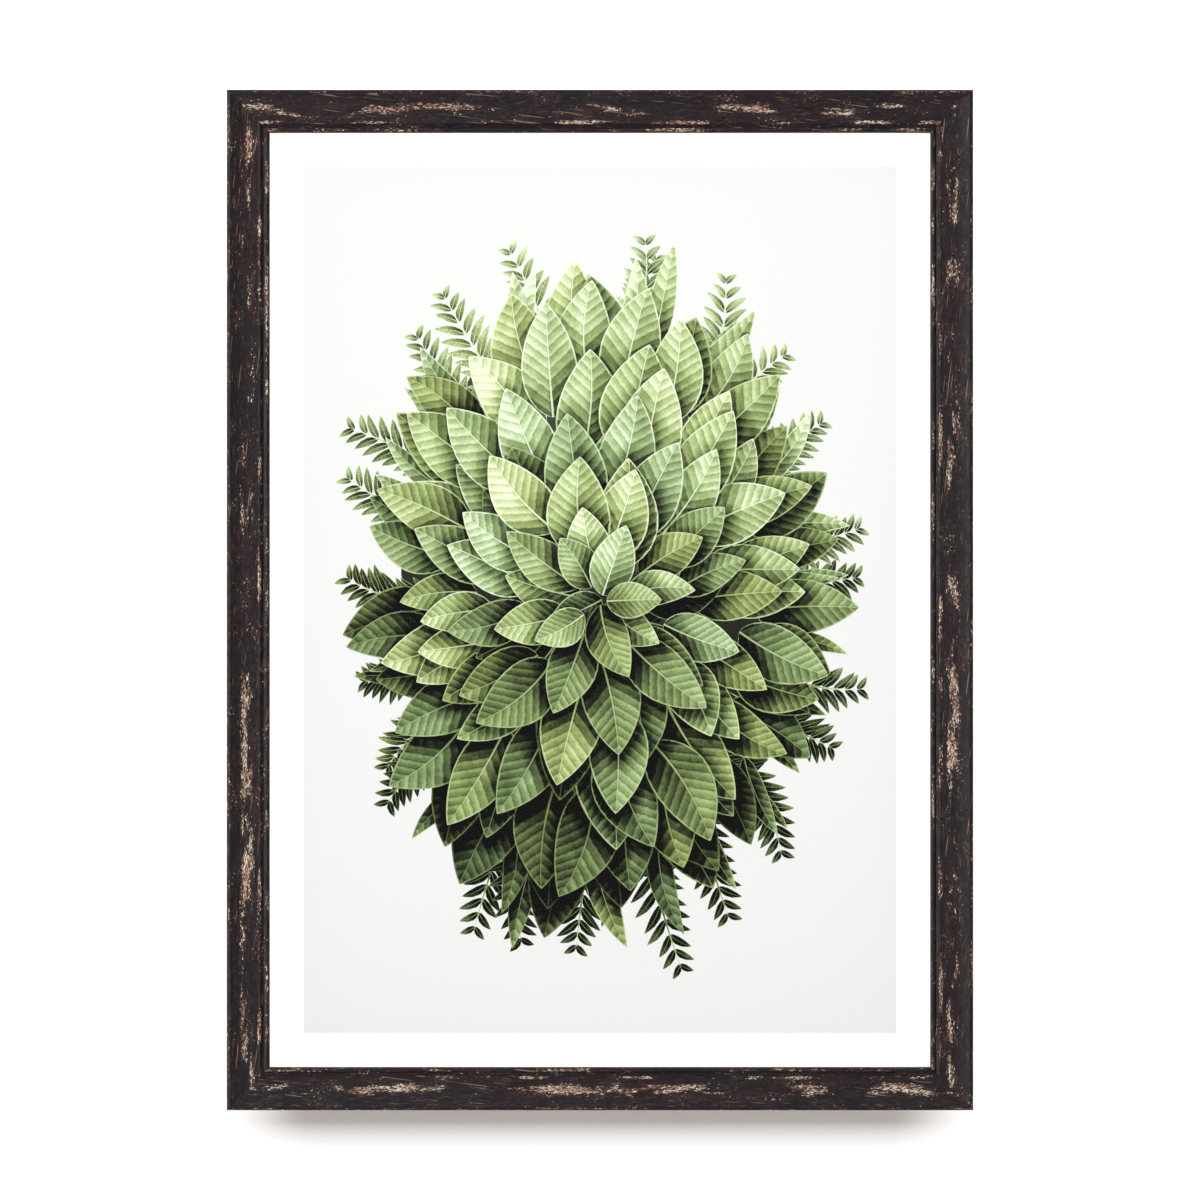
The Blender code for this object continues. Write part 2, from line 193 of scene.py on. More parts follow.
class Wiring:
    """Adds shader nodes to one tree and joins them."""

    def __init__(self, tree):
        self.tree = tree

    def feed(self, socket, value):
        if isinstance(value, bpy.types.NodeSocket):
            self.tree.links.new(value, socket)
        else:
            socket.default_value = value

    def node(self, kind, fed=None, **settings):
        """A new node. What is fed are its inputs by name or number, as values or other outputs."""
        made = self.tree.nodes.new(f"ShaderNode{kind}")
        for name, setting in settings.items():
            setattr(made, name, setting)
        for key, value in (fed or {}).items():
            self.feed(made.inputs[key], value)
        return made

    def maths(self, operation, *terms):
        return self.node("Math", dict(enumerate(terms)), operation=operation).outputs[0]

    def times(self, first, second):
        return self.maths("MULTIPLY", first, second)

    def plus(self, first, second):
        return self.maths("ADD", first, second)

    def less(self, first, second):
        """What is left of the first without the second."""
        return self.maths("SUBTRACT", first, second)

    def divided(self, first, second):
        return self.maths("DIVIDE", first, second)

    def most(self, first, second):
        """The larger of the two."""
        return self.maths("MAXIMUM", first, second)

    def times_plus(self, value, factor, added):
        return self.maths("MULTIPLY_ADD", value, factor, added)

    def step(self, value, low, high, to_low=0.0, to_high=1.0):
        """A smooth change from one value to another as the input goes from low to high."""
        fed = dict(enumerate((value, low, high, to_low, to_high)))
        return self.node("MapRange", fed, interpolation_type="SMOOTHSTEP").outputs[0]

    def scale(self, value, low, high, to_low, to_high):
        """An even change, held at its ends."""
        fed = dict(enumerate((value, low, high, to_low, to_high)))
        return self.node("MapRange", fed).outputs[0]

    def between(self, share, low, high):
        """From low to high as the share goes from 0 to 1."""
        return self.scale(share, 0, 1, low, high)

    def spread(self, texture, low, high):
        """Spreads a noise texture's usual levels over low to high."""
        return self.scale(texture, NOISE_LOW, NOISE_HIGH, low, high)

    def band(self, value, start, full, fade, end):
        """1 between full and fade, and 0 outside start and end."""
        return self.times(self.step(value, start, full), self.step(value, end, fade))

    def tinted(self, colour, level):
        """A colour made lighter or darker by a level near 1."""
        return self.mix(1.0, colour, self.join(level, level, level), "MULTIPLY")

    def mix(self, share, first, second, blend="MIX"):
        made = self.node("Mix", {0: share, 6: first, 7: second}, data_type="RGBA", blend_type=blend)
        return made.outputs[2]

    def ramp(self, value, stops):
        """A colour by value, from (position, colour) stops."""
        made = self.node("ValToRGB", {0: value})
        elements = made.color_ramp.elements
        for element, (position, colour) in zip(elements, (stops[0], stops[-1])):
            element.position = position
            element.color = colour
        for position, colour in stops[1:-1]:
            elements.new(position).color = colour
        return made.outputs[0]

    def curve(self, value, stops):
        """A grey level by value, from (position, level) stops."""
        return self.ramp(value, [(position, (level, level, level, 1)) for position, level in stops])

    def attribute(self, name):
        return self.node("Attribute", attribute_name=name)

    def split(self, vector):
        made = self.node("SeparateXYZ", {0: vector})
        return made.outputs[0], made.outputs[1], made.outputs[2]

    def join(self, x, y, z):
        return self.node("CombineXYZ", {0: x, 1: y, 2: z}).outputs[0]

    def stretched(self, vector, stretch):
        fed = {0: vector, 1: stretch}
        return self.node("VectorMath", fed, operation="MULTIPLY").outputs[0]

    def noise(self, vector, scale=1.0, detail=3.0, roughness=0.5, distortion=0.0):
        fed = {
            "Vector": vector,
            "Scale": scale,
            "Detail": detail,
            "Roughness": roughness,
            "Distortion": distortion,
        }
        return self.node("TexNoise", fed).outputs[0]

    def cells(self, vector, scale=1.0):
        """A steady chance from 0 to 1 for each small ragged cell."""
        texture = self.node("TexVoronoi", {"Vector": vector, "Scale": scale})
        return self.split(texture.outputs["Color"])[0]

    def object_mm(self):
        """Object coordinates in millimetres."""
        place = self.node("TexCoord").outputs["Object"]
        return self.stretched(place, (TO_MM, TO_MM, TO_MM))

    def group(self, tree, fed):
        """The value that a shader group puts out for these inputs."""
        made = self.node("Group", node_tree=tree)
        for name, value in fed.items():
            self.feed(made.inputs[name], value)
        return made.outputs[0]

    def bump(self, height, distance):
        return self.node("Bump", {"Height": height, "Distance": distance}).outputs[0]


def value_group(name, sockets):
    """A new shader group with these named number inputs, after a vector, and one value output."""
    tree = bpy.data.node_groups.new(name, "ShaderNodeTree")
    tree.interface.new_socket("Vector", in_out="INPUT", socket_type="NodeSocketVector")
    for socket, default in sockets.items():
        made = tree.interface.new_socket(socket, in_out="INPUT", socket_type="NodeSocketFloat")
        made.default_value = default
    tree.interface.new_socket("Value", in_out="OUTPUT", socket_type="NodeSocketFloat")
    inside = tree.nodes.new("NodeGroupInput")
    out = tree.nodes.new("NodeGroupOutput")
    return tree, inside.outputs, out.inputs["Value"]


def mottle_group():
    """Soft clouds between two levels."""
    tree, given, result = value_group("mottle", {"Scale": 1.0, "Low": 0.0, "High": 1.0})
    wire = Wiring(tree)
    clouds = wire.noise(given["Vector"], given["Scale"], detail=4, roughness=0.6)
    wire.feed(result, wire.spread(clouds, given["Low"], given["High"]))
    return tree


def flecks_group():
    """A mask of small crisp flecks in clumps. Share is how much they cover, about 0 to 1."""
    tree, given, result = value_group("flecks", {"Scale": 1.0, "Share": 0.2})
    wire = Wiring(tree)
    chance = wire.cells(given["Vector"], given["Scale"])
    clumps = wire.noise(given["Vector"], wire.times(given["Scale"], CLUMP_SCALE), detail=2)
    level = wire.times(given["Share"], wire.spread(clumps, *CLUMPING))
    wire.feed(result, wire.step(wire.less(level, chance), 0, FLECK_EDGE))
    return tree


def new_material(name):
    """A material, what adds nodes to it, and its main shader's inputs."""
    made = bpy.data.materials.new(name)
    made.use_nodes = True
    wire = Wiring(made.node_tree)
    return made, wire, made.node_tree.nodes["Principled BSDF"].inputs


def worn_paint(mottle, flecks):
    """Dark paint rubbed through to pale wood on the bead, the ridge and the field. Bare behind."""
    made, wire, shader = new_material("worn_dark_paint")
    place = wire.attribute("moulding_place").outputs["Vector"]
    along, out, height = wire.split(place)

    # The rubbed places come in patches, which lie along the rail.
    field_patch = wire.noise(wire.stretched(place, (0.032, 0.14, 0)), detail=3, roughness=0.6)
    ridge_patch = wire.noise(wire.stretched(place, (0.035, 0.05, 0.4)), detail=3)
    bead_patch = wire.noise(wire.stretched(place, (0.04, 0.05, 0.9)), detail=2)
    field = wire.times(wire.band(out, *FIELD_WEAR), wire.step(field_patch, 0.5, 0.64))
    ridge = wire.times(wire.band(out, *RIDGE_WEAR), wire.step(ridge_patch, 0.48, 0.62))
    bead = wire.times(wire.band(out, *BEAD_WEAR), wire.step(bead_patch, 0.48, 0.7))
    lip = wire.times(wire.band(out, *LIP_WEAR), wire.step(bead_patch, 0.48, 0.7))
    rubbed = wire.most(field, ridge)
    rubbed = wire.most(rubbed, wire.times(bead, 0.8))
    rubbed = wire.most(rubbed, wire.times(lip, 0.5))

    # Within a patch the paint is chipped off in small crisp flecks, over a brown haze.
    chipped = wire.stretched(place, (1.1, 3.2, 3.2))
    chips = wire.group(flecks, {"Vector": chipped, "Share": wire.between(rubbed, 0.0, 0.56)})
    speck_patch = wire.noise(wire.stretched(place, (0.06, 0.13, 0.13)), detail=3)
    speck_share = wire.scale(speck_patch, 0.44, 0.7, 0.0, 0.08)
    speckled = wire.stretched(place, (1.8, 2.6, 2.6))
    specks = wire.group(flecks, {"Vector": speckled, "Share": speck_share})
    dashed = wire.stretched(place, (0.25, 1.8, 1.8))
    dashes = wire.group(flecks, {"Vector": dashed, "Share": 0.1})
    streaks = wire.cells(wire.stretched(place, (0.3, 2.0, 2.0)))
    faint = wire.between(wire.cells(wire.stretched(place, (1.1, 3.8, 3.8))), 0.05, 0.95)
    bare = wire.times(wire.most(chips, specks), faint)
    haze = wire.times(rubbed, wire.between(streaks, 0.4, 1.2))
    haze = wire.most(haze, wire.times(dashes, 0.3))
    haze = wire.most(haze, wire.scale(speck_patch, 0.44, 0.7, 0.0, 0.12))

    # A few fine scratches run at a slant.
    slant = wire.join(along, wire.times_plus(along, SCRATCH_SLANT, out), height)
    scratches = wire.noise(wire.stretched(slant, (0.045, 1.5, 1.5)), detail=1)
    scratches = wire.step(scratches, 0.7, 0.74)

    grain = wire.noise(wire.stretched(place, (0.12, 1.8, 1.8)), detail=4, roughness=0.65)
    grit = wire.cells(wire.stretched(place, (0.9, 1.7, 1.7)))
    clouded = wire.stretched(place, (0.09, 0.5, 0.5))
    tone = wire.group(mottle, {"Vector": clouded, "Low": 0.8, "High": 1.2})
    tone = wire.times(tone, wire.spread(grain, 0.75, 1.25))
    tone = wire.times(tone, wire.between(grit, 0.7, 1.3))
    tint = wire.noise(wire.stretched(place, (0.03, 0.1, 0.1)), detail=2)
    dark = wire.mix(wire.step(tint, 0.4, 0.6), srgb(33, 22, 26), srgb(28, 24, 27))
    dark = wire.tinted(dark, tone)
    brown = wire.mix(grit, srgb(40, 25, 25), srgb(112, 82, 68))
    colour = wire.mix(haze, dark, brown)
    colour = wire.mix(wire.times(scratches, 0.7), colour, srgb(130, 104, 92))
    shades = wire.step(wire.noise(wire.stretched(place, (0.07, 0.3, 0.3))), 0.36, 0.54)
    pale = wire.mix(shades, srgb(206, 160, 140), srgb(224, 210, 184))
    colour = wire.mix(bare, colour, pale)

    # The back and the rebate were never painted.
    ragged = wire.noise(wire.stretched(place, (0.25, 0.6, 0.6)), detail=4)
    back = wire.step(wire.less(height, wire.times(ragged, 1.2)), *BACK_PAINT_HEIGHT)
    inside = wire.times(wire.step(out, *REBATE_PAINT_OUT), wire.step(height, *REBATE_PAINT_HEIGHT))
    raw = wire.most(back, inside)
    ringed = wire.stretched(place, (0.02, 0.9, 0.9))
    rings = wire.noise(ringed, detail=5, roughness=0.65, distortion=0.4)
    wood = wire.ramp(
        rings,
        [(0.3, srgb(132, 96, 62)), (0.5, srgb(168, 132, 92)), (0.7, srgb(190, 158, 118))],
    )
    pores = wire.group(flecks, {"Vector": wire.stretched(place, (0.12, 3.0, 3.0)), "Share": 0.4})
    wood = wire.mix(wire.times(pores, 0.35), wood, srgb(96, 66, 42))
    wire.feed(shader["Base Color"], wire.mix(raw, colour, wood))

    dull = wire.group(mottle, {"Vector": place, "Scale": 0.3, "Low": 0.5, "High": 0.68})
    dull = wire.mix(wire.most(chips, raw), dull, (0.85, 0.85, 0.85, 1))
    wire.feed(shader["Roughness"], dull)
    shader["Specular IOR Level"].default_value = 0.18

    # The paint is a film that is gone from the chips and thin where it is rubbed.
    film = wire.less(1.0, wire.most(chips, wire.times(rubbed, 0.35)))
    relief = wire.plus(film, wire.times(grain, 0.8))
    wire.feed(shader["Normal"], wire.bump(relief, 0.1 * MM))
    return made


# One side vein and the flank beyond it, by level.
VEIN_STOPS = (
    (0.0, 0.0),
    (0.05, 0.1),
    (0.12, 0.75),
    (0.3, 1.0),
    (0.62, 0.55),
    (0.93, 0.34),
    (1.0, 0.0),
)

# The inks, from dark to light.
COOL_GREENS = (
    (0.0, srgb(5, 6, 4)),
    (0.2, srgb(36, 44, 27)),
    (0.42, srgb(80, 98, 62)),
    (0.64, srgb(126, 147, 102)),
    (0.84, srgb(172, 192, 150)),
    (1.0, srgb(212, 224, 198)),
)
WARM_GREENS = (
    (0.0, srgb(7, 7, 4)),
    (0.2, srgb(46, 50, 27)),
    (0.42, srgb(98, 110, 60)),
    (0.64, srgb(146, 160, 97)),
    (0.84, srgb(188, 200, 144)),
    (1.0, srgb(220, 227, 192)),
)
GLOOMS = ((0.3, srgb(6, 6, 5)), (0.6, srgb(30, 32, 25)), (0.9, srgb(74, 78, 62)))
GROUND_LEVEL = 0.661
PAPER = srgb(246, 246, 245)


def leaf_print(mottle):
    """A matt art print: pale ground, white margin, and leaves drawn from their own coordinates."""
    made, wire, shader = new_material("printed_leaves")
    place = wire.object_mm()
    x, _, z = wire.split(place)
    up = wire.less(z, CENTRE * TO_MM)
    length, breadth, seed = wire.split(wire.attribute("leaf_form").outputs["Vector"])
    light, warmth, kind = wire.split(wire.attribute("leaf_tone").outputs["Vector"])
    shade = wire.attribute("leaf_shade").outputs["Fac"]
    along, side, _ = wire.split(wire.node("UVMap", uv_map="leaf").outputs[0])
    across = wire.maths("ABSOLUTE", side)

    # How far this spot is from the leaf's edge, in millimetres.
    to_tip = wire.maths("POWER", wire.less(1.0, along), TIP_POWER)
    fullness = wire.times(wire.maths("POWER", along, STALK_POWER), leaf_peak())
    fullness = wire.times(fullness, to_tip)
    edge = wire.less(wire.times(breadth, fullness), across)

    # Pale rim and midrib, and a thin dark line beside the midrib.
    wander = wire.noise(wire.stretched(place, (0.5, 0.5, 0.5)), detail=2)
    rim_width = wire.times(wire.times_plus(breadth, 0.045, 0.22), wire.spread(wander, 0.5, 1.3))
    rim = wire.step(wire.divided(edge, rim_width), 1.15, 0.75)
    taper = wire.between(along, 1.0, 0.25)
    rib_width = wire.times(wire.times_plus(breadth, 0.03, 0.1), taper)
    rib_place = wire.divided(side, rib_width)
    midrib = wire.band(rib_place, -1.3, -0.8, 0.8, 1.3)
    beside = wire.band(rib_place, 0.9, 1.5, 1.9, 2.6)

    # Side veins that sweep towards the tip, dark on one flank and bright on the other.
    spacing = wire.times_plus(length, 0.085, 0.6)
    run = wire.times(along, length)
    run = wire.times_plus(across, -0.85, run)
    run = wire.times_plus(wander, 1.6, run)
    count = wire.plus(wire.divided(run, spacing), wire.between(seed, 0, 3))
    ribbed = wire.curve(wire.maths("FRACT", count), VEIN_STOPS)
    ribbed = wire.between(ribbed, -0.17, 0.12)
    ribbed = wire.times(ribbed, wire.step(breadth, 1.5, 5.0, 0.45, 1.0))

    # The leaf's light and dark halves, its darker base, and uneven washes of colour.
    half = wire.step(side, -0.6, 0.6, -0.07, 0.06)
    base = wire.scale(along, 0, 0.6, -0.27, 0.05)
    wash = wire.group(mottle, {"Vector": place, "Scale": 0.09, "Low": -0.09, "High": 0.09})
    spots = wire.group(mottle, {"Vector": place, "Scale": 0.7, "Low": -0.05, "High": 0.05})
    level = light
    for change in (ribbed, half, base, wash, spots):
        level = wire.plus(level, change)
    depth = wire.scale(up, -PRINT_HALF_HEIGHT, PRINT_HALF_HEIGHT, -0.9, -0.4)
    level = wire.times_plus(shade, depth, level)

    green = wire.mix(warmth, wire.ramp(level, COOL_GREENS), wire.ramp(level, WARM_GREENS))
    lift = wire.between(light, 0.2, 0.34)
    line_level = wire.plus(wire.times_plus(shade, -0.3, light), lift)
    line = wire.mix(warmth, wire.ramp(line_level, COOL_GREENS), wire.ramp(line_level, WARM_GREENS))
    deeper = wire.ramp(wire.less(level, 0.22), COOL_GREENS)
    green = wire.mix(wire.times(beside, 0.55), green, deeper)
    green = wire.mix(wire.times(wire.most(rim, midrib), 0.8), green, line)

    # The dark between the leaves, and the paper.
    leaf = wire.mix(wire.step(kind, 0.7, 0.8), wire.ramp(light, GLOOMS), green)
    height = wire.divided(up, PRINT_HALF_HEIGHT)
    ground = wire.times_plus(height, wire.times_plus(height, -0.0165, 0.0305), GROUND_LEVEL)
    sideways = wire.maths("POWER", wire.divided(x, PRINT_HALF_WIDTH), 2)
    ground = wire.times_plus(sideways, -0.012, ground)
    ground = wire.join(ground, wire.times(ground, 0.995), wire.times(ground, 0.98))
    past_side = wire.less(wire.maths("ABSOLUTE", x), PRINT_HALF_WIDTH)
    past_end = wire.less(wire.maths("ABSOLUTE", up), PRINT_HALF_HEIGHT)
    margin = wire.step(wire.most(past_side, past_end), -0.05, 0.05)
    ground = wire.mix(margin, ground, PAPER)
    wire.feed(shader["Base Color"], wire.mix(wire.step(kind, 0.2, 0.3), ground, leaf))

    shader["Specular IOR Level"].default_value = 0.08
    matt = wire.group(mottle, {"Vector": place, "Scale": 0.4, "Low": 0.7, "High": 0.82})
    wire.feed(shader["Roughness"], matt)
    tooth = wire.noise(place, 3.0, detail=3, roughness=0.6)
    wire.feed(shader["Normal"], wire.bump(tooth, 0.01 * MM))
    return made


def clear_sheet(mottle):
    """Clear acrylic with a faint gloss on its outside, which lets light straight through."""
    made, wire, _ = new_material("clear_acrylic")
    tree = made.node_tree
    tree.nodes.remove(tree.nodes["Principled BSDF"])
    place = wire.object_mm()
    smears = wire.group(mottle, {"Vector": place, "Scale": 0.02, "Low": 0.02, "High": 0.06})
    clear = wire.node("BsdfTransparent", {0: (0.995, 0.998, 0.997, 1)})
    gloss = wire.node("BsdfGlossy", {"Color": (1, 1, 1, 1), "Roughness": smears})
    glance = wire.node("Fresnel", {"IOR": 1.2}).outputs[0]
    outside = wire.less(1.0, wire.node("NewGeometry").outputs["Backfacing"])
    glance = wire.times(glance, outside)
    both = wire.node("MixShader", {0: glance, 1: clear.outputs[0], 2: gloss.outputs[0]})
    wire.feed(tree.nodes["Material Output"].inputs[0], both.outputs[0])
    return made


def pressed_board(mottle, flecks):
    """Hardboard: brown pressed fibre with a fine mesh pattern on its rough face."""
    made, wire, shader = new_material("hardboard")
    place = wire.object_mm()
    x, _, z = wire.split(place)
    matted = wire.stretched(place, (0.5, 1.0, 1.1))
    fibres = wire.noise(matted, 1.2, detail=6, roughness=0.75, distortion=0.8)
    board = wire.ramp(
        fibres,
        [(0.32, srgb(84, 56, 34)), (0.5, srgb(122, 86, 54)), (0.68, srgb(150, 112, 76))],
    )
    cloudy = wire.group(mottle, {"Vector": place, "Scale": 0.012, "Low": 0.86, "High": 1.1})
    board = wire.tinted(board, cloudy)
    strewn = wire.stretched(place, (0.6, 1, 1.6))
    chaff = wire.group(flecks, {"Vector": strewn, "Scale": 1.6, "Share": 0.16})
    board = wire.mix(wire.times(chaff, 0.5), board, srgb(184, 150, 108))
    wire.feed(shader["Base Color"], board)
    dull = wire.group(mottle, {"Vector": place, "Scale": 0.8, "Low": 0.68, "High": 0.9})
    wire.feed(shader["Roughness"], dull)
    across = wire.maths("SINE", wire.times(x, MESH_RATE))
    upward = wire.maths("SINE", wire.times(z, MESH_RATE))
    weave = wire.times(across, upward)
    relief = wire.times_plus(weave, 0.35, fibres)
    wire.feed(shader["Normal"], wire.bump(relief, 0.15 * MM))
    return made


def grey_board(mottle, flecks):
    """Recycled grey card with paler and darker fibres."""
    made, wire, shader = new_material("grey_card")
    place = wire.object_mm()
    pulp = wire.group(mottle, {"Vector": place, "Scale": 0.25, "Low": 0.9, "High": 1.06})
    card = wire.tinted(srgb(176, 170, 160), pulp)
    strewn = wire.stretched(place, (0.5, 1, 1.5))
    hairs = wire.group(flecks, {"Vector": strewn, "Scale": 1.5, "Share": 0.12})
    wire.feed(shader["Base Color"], wire.mix(wire.times(hairs, 0.5), card, srgb(120, 112, 100)))
    wire.feed(shader["Roughness"], wire.scale(pulp, 0.9, 1.06, 0.84, 0.94))
    wire.feed(shader["Normal"], wire.bump(pulp, 0.05 * MM))
    return made


def plated_steel(name, mottle, bright, dull, low, high):
    """Plated sheet steel with cloudy plating, fine rolling lines and a little tarnish."""
    made, wire, shader = new_material(name)
    place = wire.object_mm()
    cloud = wire.group(mottle, {"Vector": place, "Scale": 0.5, "Low": 0.0, "High": 1.0})
    wire.feed(shader["Base Color"], wire.mix(cloud, bright, dull))
    shader["Metallic"].default_value = 1.0
    lines = wire.noise(wire.stretched(place, (0.6, 6.0, 6.0)), detail=3, roughness=0.6)
    uneven = wire.times_plus(lines, 0.12, wire.between(cloud, low, high))
    wire.feed(shader["Roughness"], uneven)
    wire.feed(shader["Normal"], wire.bump(lines, 0.01 * MM))
    return made


def leaf_peak():
    """What brings the fullest place of a leaf to 1."""
    total = STALK_POWER + TIP_POWER
    share = STALK_POWER / total
    return 1 / (share**STALK_POWER * (1 - share) ** TIP_POWER)


def link(name, mesh):
    obj = bpy.data.objects.new(name, mesh)
    bpy.context.scene.collection.objects.link(obj)
    return obj


def smooth(mesh):
    mesh.shade_smooth()
    mesh.set_sharp_from_angle(angle=SMOOTH_ANGLE)


def section_spot(point):
    """A point of the moulding's section, (distance out, height), in a rail's own frame."""
    return Vector((0, -point.y, point.x))


def round_point(centre, radius, degrees):
    angle = math.radians(degrees)
    return centre + radius * Vector((math.cos(angle), math.sin(angle)))


def sweep_round(bm, vert, centre, degrees, steps):
    """Carries a point of the section round a centre and returns the last point it leaves."""
    swept = bmesh.ops.spin(
        bm,
        geom=[vert],
        cent=section_spot(centre),
        axis=(1, 0, 0),
        angle=math.radians(degrees),
        steps=steps,
    )
    return swept["geom_last"][0]


def add_section(bm):
    """The moulding's section as one face, from the sight edge over the front to the back."""
    bead = bm.verts.new(section_spot(round_point(BEAD_CENTRE, BEAD_RADIUS, BEAD_START)))
    sweep_round(bm, bead, BEAD_CENTRE, BEAD_END - BEAD_START, BEAD_STEPS)
    bm.verts.new(section_spot(GROOVE))
    ridge = bm.verts.new(section_spot(round_point(RIDGE_CENTRE, RIDGE_RADIUS, RIDGE_START)))
    ridge = sweep_round(bm, ridge, RIDGE_CENTRE, RIDGE_END - RIDGE_START, BEAD_STEPS)
    cove_centre = round_point(LIP_CENTRE, LIP_RADIUS + COVE_RADIUS, LIP_START)
    cove_start = section_spot(round_point(cove_centre, COVE_RADIUS, LIP_START - 180 - COVE_SWEEP))
    bm.verts.new(ridge.co.lerp(cove_start, RIDGE_FOOT))
    cove = bm.verts.new(cove_start)
    lip = sweep_round(bm, cove, cove_centre, COVE_SWEEP, COVE_STEPS)
    sweep_round(bm, lip, LIP_CENTRE, LIP_END - LIP_START, LIP_STEPS)
    corners = [(LIP_CENTRE.x + LIP_RADIUS, QUIRK_HEIGHT), (RAIL_WIDTH, QUIRK_HEIGHT), (RAIL_WIDTH, 0)]
    corners += [(REBATE_WIDTH, 0), (REBATE_WIDTH, REBATE_DEPTH), (0, REBATE_DEPTH)]
    for corner in corners:
        bm.verts.new(section_spot(Vector(corner)))
    return bm.faces.new(bm.verts)


def extrude(bm, face, along):
    """Sweeps a face along a vector and leaves a closed solid."""
    swept = bmesh.ops.extrude_face_region(bm, geom=[face])["geom"]
    far_end = [item for item in swept if isinstance(item, bmesh.types.BMVert)]
    bmesh.ops.translate(bm, verts=far_end, vec=along)


def sight_middle(side):
    """The middle of a rail's sight edge, and half that edge's length."""
    half_width, half_height = SIGHT_WIDTH / 2, SIGHT_HEIGHT / 2
    return {
        "top": (Vector((0, 0, SIGHT_TOP)), half_width),
        "bottom": (Vector((0, 0, SIGHT_TOP - SIGHT_HEIGHT)), half_width),
        "right": (Vector((half_width, 0, CENTRE)), half_height),
        "left": (Vector((-half_width, 0, CENTRE)), half_height),
    }[side]


def wear_down(mesh):
    """Sinks the front a little, unevenly, as rubbing and knocks do. Mitred neighbours sink alike."""
    for vert in mesh.vertices:
        if vert.co.y < -REBATE_DEPTH - MERGE:
            spot = vert.co / DENT_LENGTH
            hollow = noise.noise(spot) + 0.5 * noise.noise(spot * 2.3)
            vert.co.y += DENT_DEPTH * max(0, hollow)


def v_slot_tool():
    """The V-nails' slots, as one solid to cut with."""
    near, far = -V_SLOT_MARGIN, V_NAIL_LEG + V_SLOT_MARGIN
    inside = V_NAIL_THICKNESS + V_SLOT_MARGIN
    outline = [(near, near), (far, near), (far, inside), (inside, inside), (inside, far), (near, far)]
    bm = bmesh.new()
    for (right, up), degrees in CORNER_TURN.items():
        turn = Matrix.Rotation(math.radians(degrees), 3, "Y")
        for out in V_NAIL_OUT:
            seat = Vector((right * (SIGHT_WIDTH / 2 + out), 0, CENTRE + up * (SIGHT_HEIGHT / 2 + out)))
            corners = [bm.verts.new(seat + turn @ Vector((x, MM, z))) for x, z in outline]
            extrude(bm, bm.faces.new(corners), (0, -V_SLOT_DEPTH - MM, 0))
    bmesh.ops.recalc_face_normals(bm, faces=bm.faces)
    mesh = bpy.data.meshes.new("v_slots")
    bm.to_mesh(mesh)
    bm.free()
    return link("v_slots", mesh)


def cut_out(piece, tool):
    """Takes a tool's shape out of a piece's mesh."""
    modifier = piece.modifiers.new("cut", "BOOLEAN")
    modifier.operation = "DIFFERENCE"
    modifier.solver = "EXACT"
    modifier.object = tool
    cut = piece.evaluated_get(bpy.context.evaluated_depsgraph_get())
    piece.data = bpy.data.meshes.new_from_object(cut)
    piece.modifiers.clear()


def make_rail(side, number, skin, slots):
    """One mitred length of worn moulding."""
    middle, half_length = sight_middle(side)
    bm = bmesh.new()
    extrude(bm, add_section(bm), (1, 0, 0))
    long_edges = [edge for edge in bm.edges if edge.verts[0].co.x != edge.verts[1].co.x]
    bmesh.ops.subdivide_edges(bm, edges=long_edges, cuts=RAIL_CUTS, use_grid_fill=True)
    for vert in bm.verts:
        half_here = half_length + vert.co.z - MITRE_GAP / 2
        vert.co.x = (2 * vert.co.x - 1) * half_here
    turn = Matrix.Translation(middle) @ Matrix.Rotation(math.radians(RAIL_TURN[side]), 4, "Y")
    bmesh.ops.transform(bm, matrix=turn, verts=bm.verts)
    bmesh.ops.recalc_face_normals(bm, faces=bm.faces)
    mesh = bpy.data.meshes.new(f"moulding_{side}")
    bm.to_mesh(mesh)
    bm.free()
    piece = link(f"moulding_{side}", mesh)
    cut_out(piece, slots)

    own = turn.inverted()
    mesh = piece.data
    mesh.name = piece.name
    places = mesh.attributes.new("moulding_place", "FLOAT_VECTOR", "POINT")
    for place, vert in zip(places.data, mesh.vertices):
        spot = own @ vert.co * TO_MM
        place.vector = (spot.x + number * PATTERN_STEP, spot.z, -spot.y)
    wear_down(mesh)
    smooth(mesh)
    mesh.materials.clear()
    mesh.materials.append(skin)
    finish_piece(piece, f"rail_{side}", "frame")


def finish_piece(piece, node, body):
    """Puts a piece in the place of a CAD node."""
    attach(piece, body)
    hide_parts(node)


@dataclass
class Leaf:
    """One leaf of the printed design, in millimetres and radians."""

    base: Vector
    angle: float
    length: float
    breadth: float
    bow: float
    light: float
    warmth: float
    seed: float
    steps: int = LEAF_STEPS

    def width_at(self, share):
        return self.breadth * leaf_peak() * share**STALK_POWER * (1 - share) ** TIP_POWER

    def spot(self, share, side):
        """A place on the page, from the share of the length and the distance off the midrib."""
        point = Vector((share * self.length, side + self.bow * 4 * share * (1 - share)))
        return self.base + Matrix.Rotation(self.angle, 2) @ point

    def own(self, point):
        """The share of the length and the distance off the midrib, from a place on the page."""
        point = Matrix.Rotation(-self.angle, 2) @ (point - self.base)
        share = min(max(point.x / self.length, 0), 1)
        return share, point.y - self.bow * 4 * share * (1 - share)

    def heading(self, share):
        """Which way the midrib runs at this share of its length."""
        return self.angle + math.atan2(self.bow * 4 * (1 - 2 * share), self.length)

    def outline(self):
        """The leaf's edge, counter-clockwise from its stalk."""
        shares = [(1 - math.cos(math.pi * i / self.steps)) / 2 for i in range(self.steps + 1)]
        right = [self.spot(share, -self.width_at(share)) for share in shares[:-1]]
        left = [self.spot(share, self.width_at(share)) for share in reversed(shares[1:])]
        return right + left


@dataclass
class Ring:
    """A ring of leaves. Start and length are shares of the design's reach."""

    count: int
    start: float
    length: float
    breadth: float
    light: float = 0.0
    unruly: float = 0.3


